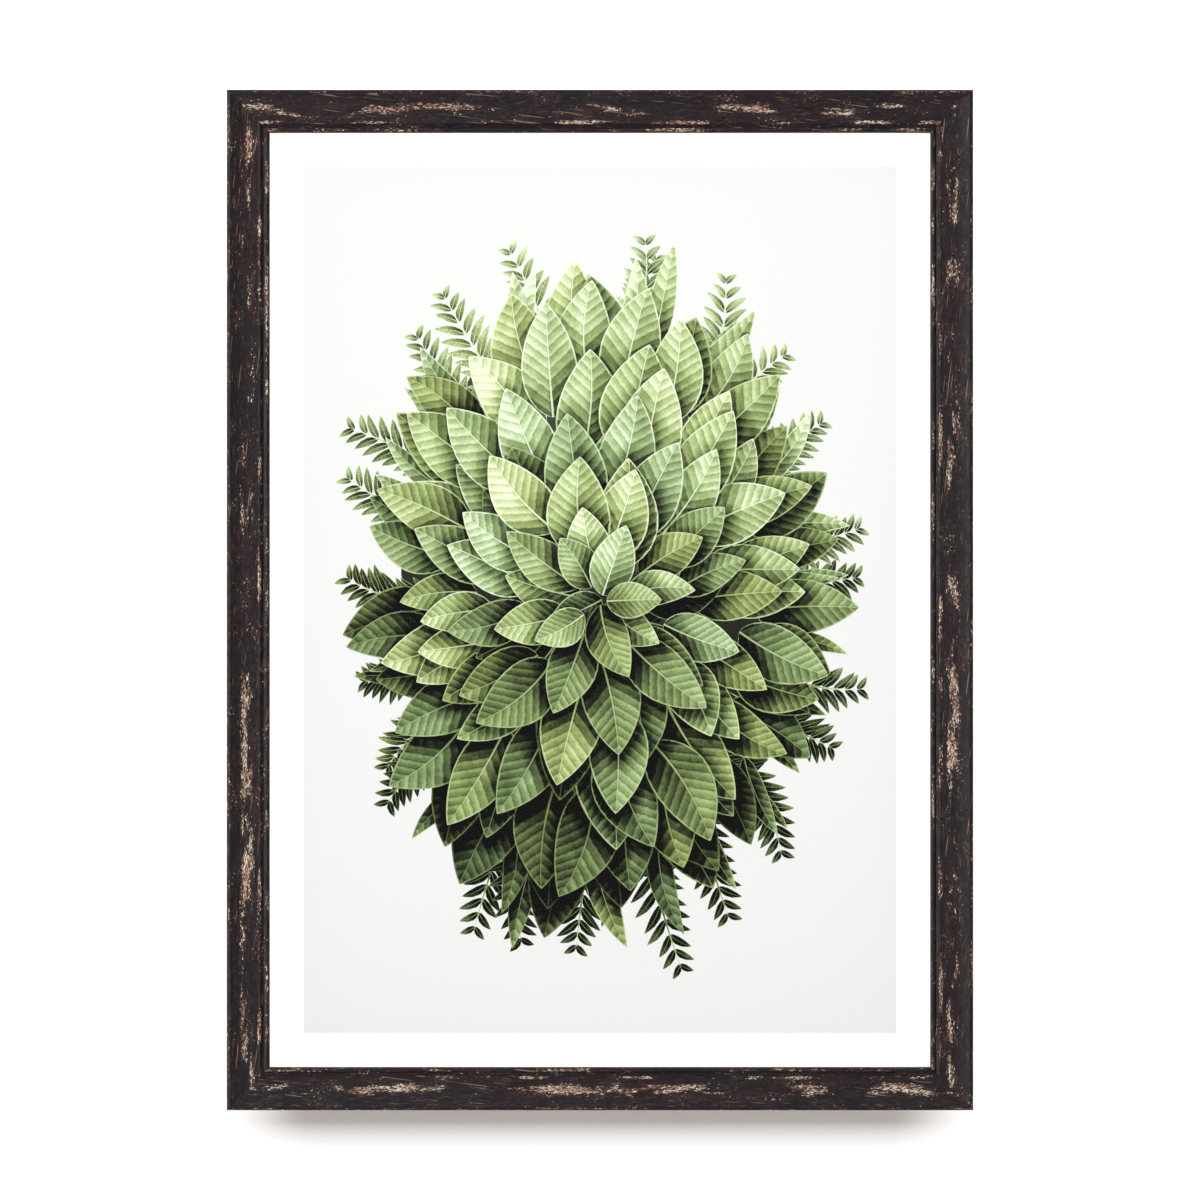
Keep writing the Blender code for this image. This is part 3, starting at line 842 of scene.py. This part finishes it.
# From the back of the design to its front.
RINGS = (
    Ring(34, 0.64, 0.30, 0.13, 0.05, 0.5),
    Ring(30, 0.56, 0.36, 0.27, -0.12),
    Ring(27, 0.50, 0.34, 0.27, 0.02),
    Ring(22, 0.38, 0.34, 0.28, 0.0),
    Ring(18, 0.20, 0.30, 0.30, -0.14),
    Ring(17, 0.25, 0.33, 0.28, 0.03),
    Ring(12, 0.12, 0.30, 0.28, 0.0),
    Ring(8, 0.03, 0.22, 0.30, 0.06),
)

# Fern fronds behind the leaves. Their starts and lengths are shares of the design's reach.
FROND_COUNT = 24
FROND_START = 0.55
FROND_LENGTH = 0.44
STALK_BREADTH = 0.55
LEAFLET_PAIRS = 10
LEAFLET_SPREAD = math.radians(48)
FIRST_LEAFLET, LEAFLET_SPAN = 0.16, 0.8

# The dark between the leaves is a slightly wavy oval.
GLOOM_POINTS = 72
GLOOM_REACH, GLOOM_WAVE, GLOOM_WAVES = 0.74, 0.03, 9

# Kinds of place on the print: leaves' own, and the dark between them. Bare paper is 0.
LEAF_KIND = 1
GLOOM_KIND = 0.5


def design_spot(angle, share):
    """A place in the oval design, by direction and share of its reach."""
    return Vector((DESIGN_HALF_WIDTH * math.cos(angle), DESIGN_HALF_HEIGHT * math.sin(angle))) * share


def even_angle(share):
    """The direction at a share of the way round, so that leaves stand evenly round the oval."""
    angle = math.tau * share
    return angle - OVAL_EVENING * math.sin(2 * angle)


def light_at(point):
    """The design is pale at its top and dark at its foot."""
    height = point.y / DESIGN_HALF_HEIGHT
    return 0.6 + 0.32 * height


def ring_leaves(ring, chance):
    """The leaves of one ring, in no order."""
    leaves = []
    for number in range(ring.count):
        angle = even_angle((number + chance.uniform(-0.3, 0.3)) / ring.count)
        base = design_spot(angle, ring.start + chance.uniform(-0.05, 0.05))
        outward = design_spot(angle, 1)
        length = min(ring.length * outward.length * chance.uniform(0.82, 1.12), LONGEST_LEAF)
        heading = math.atan2(outward.y, outward.x) + chance.uniform(-ring.unruly, ring.unruly)
        middle = base + Vector((math.cos(heading), math.sin(heading))) * length / 2
        leaves.append(
            Leaf(
                base=base,
                angle=heading,
                length=length,
                breadth=length * ring.breadth * chance.uniform(0.88, 1.12),
                bow=length * chance.uniform(-0.09, 0.09),
                light=light_at(middle) + ring.light + chance.uniform(-0.12, 0.12),
                warmth=chance.uniform(0.1, 0.9),
                seed=chance.random(),
            )
        )
    chance.shuffle(leaves)
    return leaves


def frond_leaves(angle, chance):
    """One fern frond: a thin stalk and pairs of leaflets."""
    base = design_spot(angle, FROND_START)
    outward = design_spot(angle, 1)
    length = FROND_LENGTH * outward.length * chance.uniform(0.85, 1.12)
    heading = math.atan2(outward.y, outward.x) + chance.uniform(-0.25, 0.25)
    light = light_at(base * 1.6) + chance.uniform(-0.02, 0.16)
    warmth = chance.uniform(0.1, 0.7)
    bow = length * chance.uniform(-0.12, 0.12)
    stalk = Leaf(base, heading, length, STALK_BREADTH, bow, light + 0.12, warmth, seed=0.5)
    leaves = []
    for pair in range(LEAFLET_PAIRS):
        share = FIRST_LEAFLET + LEAFLET_SPAN * pair / (LEAFLET_PAIRS - 1)
        reach = 3.5 + 12.5 * math.sin(math.pi * (0.18 + 0.78 * share)) ** 0.8
        for side in (-1, 1):
            leaves.append(
                Leaf(
                    base=stalk.spot(share, 0),
                    angle=stalk.heading(share) + side * (LEAFLET_SPREAD + chance.uniform(-0.1, 0.1)),
                    length=reach * chance.uniform(0.9, 1.08),
                    breadth=1.05 + reach * 0.075,
                    bow=-side * reach * 0.06,
                    light=light + chance.uniform(-0.05, 0.05),
                    warmth=warmth,
                    seed=chance.random(),
                    steps=LEAFLET_STEPS,
                )
            )
    return [*leaves, stalk]


def design_leaves():
    """Every leaf of the design, from the back to the front."""
    chance = random.Random(DESIGN_SEED)
    leaves = []
    for number in range(FROND_COUNT):
        angle = even_angle((number + chance.uniform(-0.25, 0.25)) / FROND_COUNT)
        leaves += frond_leaves(angle, chance)
    for ring in RINGS:
        leaves += ring_leaves(ring, chance)
    return leaves


def dark_ground():
    """The outline of the dark between the leaves."""
    angles = [math.tau * number / GLOOM_POINTS for number in range(GLOOM_POINTS)]
    return [
        design_spot(angle, GLOOM_REACH + GLOOM_WAVE * math.sin(GLOOM_WAVES * angle))
        for angle in angles
    ]


def page_grid(half_width, half_height):
    """Points all over the design, so that the leaves' own coordinates bend smoothly."""
    chance = random.Random(DESIGN_SEED)
    points = []
    columns, rows = int(half_width / GRID_STEP), int(half_height / GRID_STEP)
    for column in range(1 - columns, columns):
        for row in range(1 - rows, rows):
            shake = Vector((chance.uniform(-1, 1), chance.uniform(-1, 1))) * GRID_SHAKE
            point = Vector((column, row)) * GRID_STEP + shake
            reach = math.hypot(point.x / DESIGN_HALF_WIDTH, point.y / DESIGN_HALF_HEIGHT)
            if reach < GRID_REACH:
                points.append(point)
    return points


class Shading:
    """How dark the leaves above make each spot of a leaf."""

    def __init__(self, shapes):
        marks = [(point, owner) for owner, shape in enumerate(shapes) for point in shape]
        self.owners = [owner for _, owner in marks]
        self.tree = kdtree.KDTree(len(marks))
        for index, (point, _) in enumerate(marks):
            self.tree.insert(point.to_3d(), index)
        self.tree.balance()
        self.known = {}

    def at(self, vertex, point, shape):
        key = (vertex, shape)
        if key not in self.known:
            sought = (point - SHADE_SHIFT).to_3d()
            found = self.tree.find_range(sought, SHADE_RANGE)
            above = [distance for _, index, distance in found if self.owners[index] > shape]
            self.known[key] = math.exp(-min(above) / SHADE_REACH) if above else 0.0
        return self.known[key]


def make_print(skin):
    """The printed sheet. Its front is divided into the leaves that show."""
    low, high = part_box("print_sheet")
    half_width, half_height = high.x * TO_MM, (high.z - low.z) / 2 * TO_MM
    leaves = design_leaves()
    corners = [(-1, -1), (1, -1), (1, 1), (-1, 1)]
    page = [Vector((x * half_width, y * half_height)) for x, y in corners]
    shapes = [page, dark_ground(), *(leaf.outline() for leaf in leaves)]
    points, loops = [], []
    for shape in shapes:
        loops.append(list(range(len(points), len(points) + len(shape))))
        points += shape
    points += page_grid(half_width, half_height)
    spots, _, faces, _, _, held_by = delaunay_2d_cdt(points, [], loops, 1, PAGE_MERGE, True)

    bm = bmesh.new()
    own = bm.loops.layers.uv.new("leaf")
    shade = bm.loops.layers.float.new("leaf_shade")
    form = bm.faces.layers.float_vector.new("leaf_form")
    tone = bm.faces.layers.float_vector.new("leaf_tone")
    shading = Shading(shapes)
    middle = (low.z + high.z) / 2
    verts = [bm.verts.new((spot.x * MM, low.y, middle + spot.y * MM)) for spot in spots]
    for corner_ids, holders in zip(faces, held_by):
        face = bm.faces.new([verts[index] for index in corner_ids])
        # The first shape is the page, the second is the dark ground, and the rest are leaves.
        top = max(holders)
        if top == 0:
            continue
        if top == 1:
            face[tone] = (light_at(spots[corner_ids[0]]), 0, GLOOM_KIND)
            continue
        leaf = leaves[top - 2]
        face[form] = (leaf.length, leaf.breadth, leaf.seed)
        face[tone] = (leaf.light, leaf.warmth, LEAF_KIND)
        for loop, index in zip(face.loops, corner_ids):
            loop[own].uv = leaf.own(spots[index])
            loop[shade] = shading.at(index, spots[index], top)
    rim = [edge for edge in bm.edges if edge.is_boundary]
    walls = bmesh.ops.extrude_edge_only(bm, edges=rim)["geom"]
    back = [item for item in walls if isinstance(item, bmesh.types.BMVert)]
    bmesh.ops.translate(bm, verts=back, vec=(0, high.y - low.y, 0))
    bmesh.ops.holes_fill(bm, edges=[edge for edge in bm.edges if edge.is_boundary])
    bmesh.ops.recalc_face_normals(bm, faces=bm.faces)
    mesh = bpy.data.meshes.new("art_print")
    bm.to_mesh(mesh)
    bm.free()
    mesh.materials.append(skin)
    finish_piece(link("art_print", mesh), "print_sheet", "frame")


def make_copy(node, name, body, skin, softening):
    """A piece of a CAD node's shape, with its doubles merged and its sharp edges softened."""
    bm = bmesh.new()
    bm.from_mesh(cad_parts[node].data)
    bmesh.ops.remove_doubles(bm, verts=bm.verts, dist=MERGE)
    bmesh.ops.dissolve_limit(bm, angle_limit=FLAT_ANGLE, verts=bm.verts, edges=bm.edges)
    sharp = [edge for edge in bm.edges if edge.calc_face_angle(0) > SMOOTH_ANGLE]
    bmesh.ops.bevel(
        bm,
        geom=sharp,
        offset=softening,
        segments=2,
        profile=0.5,
        affect="EDGES",
        material=-1,
        clamp_overlap=True,
    )
    mesh = bpy.data.meshes.new(name)
    bm.to_mesh(mesh)
    bm.free()
    smooth(mesh)
    mesh.materials.append(skin)
    piece = link(name, mesh)
    flatten = piece.modifiers.new("flat_faces", "WEIGHTED_NORMAL")
    flatten.keep_sharp = True
    finish_piece(piece, node, body)


def make_fittings(zinc, brass):
    """Turn buttons, their screws, the hanger with its nails, and the V-nails."""
    for node in sorted(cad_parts):
        if node.startswith("turn_button_"):
            body = node.replace("turn_button_", "button_")
            make_copy(node, f"{node}_plate", body, zinc, 0.12 * MM)
        elif node.startswith("button_screw_"):
            make_copy(node, f"{node}_steel", "frame", zinc, 0.05 * MM)
        elif node.startswith("v_nail_"):
            make_copy(node, f"{node}_steel", "frame", zinc, 0.05 * MM)
        elif node.startswith(("hanger_nail_", "sawtooth_hanger")):
            make_copy(node, f"{node}_steel", "frame", brass, 0.08 * MM)


def stage_sheet(name, turn, place):
    """A large one-sided sheet of the studio, seen by the camera only."""
    bm = bmesh.new()
    bmesh.ops.create_grid(bm, x_segments=1, y_segments=1, size=SHEET_REACH)
    bmesh.ops.transform(bm, matrix=Matrix.Translation(place) @ turn, verts=bm.verts)
    mesh = bpy.data.meshes.new(name)
    bm.to_mesh(mesh)
    bm.free()
    sheet = link(name, mesh)
    for rays in ("diffuse", "glossy", "transmission", "volume_scatter", "shadow"):
        setattr(sheet, f"visible_{rays}", False)
    sheet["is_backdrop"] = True
    return sheet


def studio_white(name, glow):
    """Matt white, see-through from behind, and lifted by a glow of its own."""
    made, wire, shader = new_material(name)
    tree = made.node_tree
    shader["Base Color"].default_value = (0.75, 0.75, 0.75, 1)
    shader["Roughness"].default_value = 1.0
    shader["Specular IOR Level"].default_value = 0.0
    shader["Emission Color"].default_value = (1, 1, 1, 1)
    shader["Emission Strength"].default_value = glow
    away = wire.node("NewGeometry").outputs["Backfacing"]
    clear = wire.node("BsdfTransparent").outputs[0]
    front = tree.nodes["Principled BSDF"].outputs[0]
    both = wire.node("MixShader", {0: away, 1: front, 2: clear})
    wire.feed(tree.nodes["Material Output"].inputs[0], both.outputs[0])
    return made


def only_these(name, objects):
    """A collection for light linking. It isn't in the scene's own list."""
    chosen = bpy.data.collections.new(name)
    for obj in objects:
        chosen.objects.link(obj)
    return chosen


def add_lamp(name, place, size, watts, lit, blockers=None):
    """A soft lamp aimed at the frame's middle. It lights only some objects, which only some shade."""
    lamp = bpy.data.lights.new(name, "AREA")
    lamp.shape = "RECTANGLE"
    lamp.size, lamp.size_y = size
    lamp.energy = watts
    obj = link(name, lamp)
    middle = Vector((0, 0, CENTRE))
    obj.location = middle + Vector(place)
    obj.rotation_euler = (-Vector(place)).to_track_quat("-Z", "Y").to_euler()
    obj.visible_camera = False
    obj.light_linking.receiver_collection = lit
    if blockers:
        obj.light_linking.blocker_collection = blockers


def light_scene(wall):
    """Even white surroundings, a wide soft lamp overhead for the wall, and lamps round the frame."""
    pieces = {piece.name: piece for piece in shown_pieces()}
    page = only_these("page", [pieces["art_print"]])
    rails = only_these("rails", [pieces[f"moulding_{side}"] for side in RAIL_TURN])
    parts = only_these("parts", [piece for name, piece in pieces.items() if name != "clear_glazing"])
    walls = only_these("walls", [wall])
    boards = only_these("boards", [pieces["brown_board"]])
    add_lamp("overhead", (0, -2.0, 2.65), (4.3, 0.98), 258, lit=walls, blockers=boards)
    add_lamp("front", (-0.6, -3.6, 0.3), (2.0, 2.0), 110, lit=page, blockers=walls)
    add_lamp("front_left", (-2.8, -2.5, 0.6), (1.2, 1.8), 170, lit=rails, blockers=walls)
    add_lamp("back_left", (-1.8, 3.0, 1.6), (1.2, 1.2), 70, lit=parts)
    add_lamp("back_right", (2.2, 3.0, 0.6), (1.0, 1.6), 40, lit=parts)
    world = bpy.data.worlds.new("studio")
    world.use_nodes = True
    bpy.context.scene.world = world
    wire = Wiring(world.node_tree)
    rays = wire.node("LightPath").outputs
    strength = wire.between(rays["Is Camera Ray"], 0.75, 1.0)
    strength = wire.times(strength, wire.between(rays["Is Glossy Ray"], 1.0, 0.4))
    background = world.node_tree.nodes["Background"].inputs
    background["Color"].default_value = (1, 1, 1, 1)
    wire.feed(background["Strength"], strength)


def make_stage():
    """A wall close behind the frame, and a floor far below it."""
    wall = stage_sheet("wall", Matrix.Rotation(math.radians(90), 4, "X"), (0, WALL_PLANE, 0))
    wall.data.materials.append(studio_white("wall_white", 0.0))
    floor = stage_sheet("floor", Matrix.Identity(4), (0, 0, FLOOR_LEVEL))
    floor.data.materials.append(studio_white("floor_white", FLOOR_GLOW))
    return wall


def set_camera():
    """The camera, as far off as its lens needs to see the photograph's width."""
    camera = bpy.data.cameras.new("camera")
    camera.lens = LENS
    camera.sensor_width = SENSOR
    obj = link("camera", camera)
    distance = SEEN_WIDTH * LENS / SENSOR
    obj.location = (0, OUTER_EDGE_PLANE - distance, CENTRE)
    obj.rotation_euler = (math.radians(90), 0, 0)
    scene = bpy.context.scene
    scene.camera = obj
    scene.view_settings.view_transform = "Standard"


def main():
    mottle, flecks = mottle_group(), flecks_group()
    paint = worn_paint(mottle, flecks)
    slots = v_slot_tool()
    for number, side in enumerate(RAIL_TURN):
        make_rail(side, number, paint, slots)
    bpy.data.objects.remove(slots)
    make_print(leaf_print(mottle))
    make_copy("glazing", "clear_glazing", "frame", clear_sheet(mottle), 0.15 * MM)
    make_copy("support_card", "grey_backing", "frame", grey_board(mottle, flecks), 0.1 * MM)
    make_copy("back_board", "brown_board", "frame", pressed_board(mottle, flecks), 0.3 * MM)
    zinc = plated_steel("zinc_plate", mottle, srgb(206, 208, 210), srgb(168, 170, 170), 0.26, 0.42)
    brass = plated_steel("brassed_steel", mottle, srgb(226, 188, 110), srgb(190, 148, 78), 0.2, 0.36)
    make_fittings(zinc, brass)
    light_scene(make_stage())
    set_camera()


main()
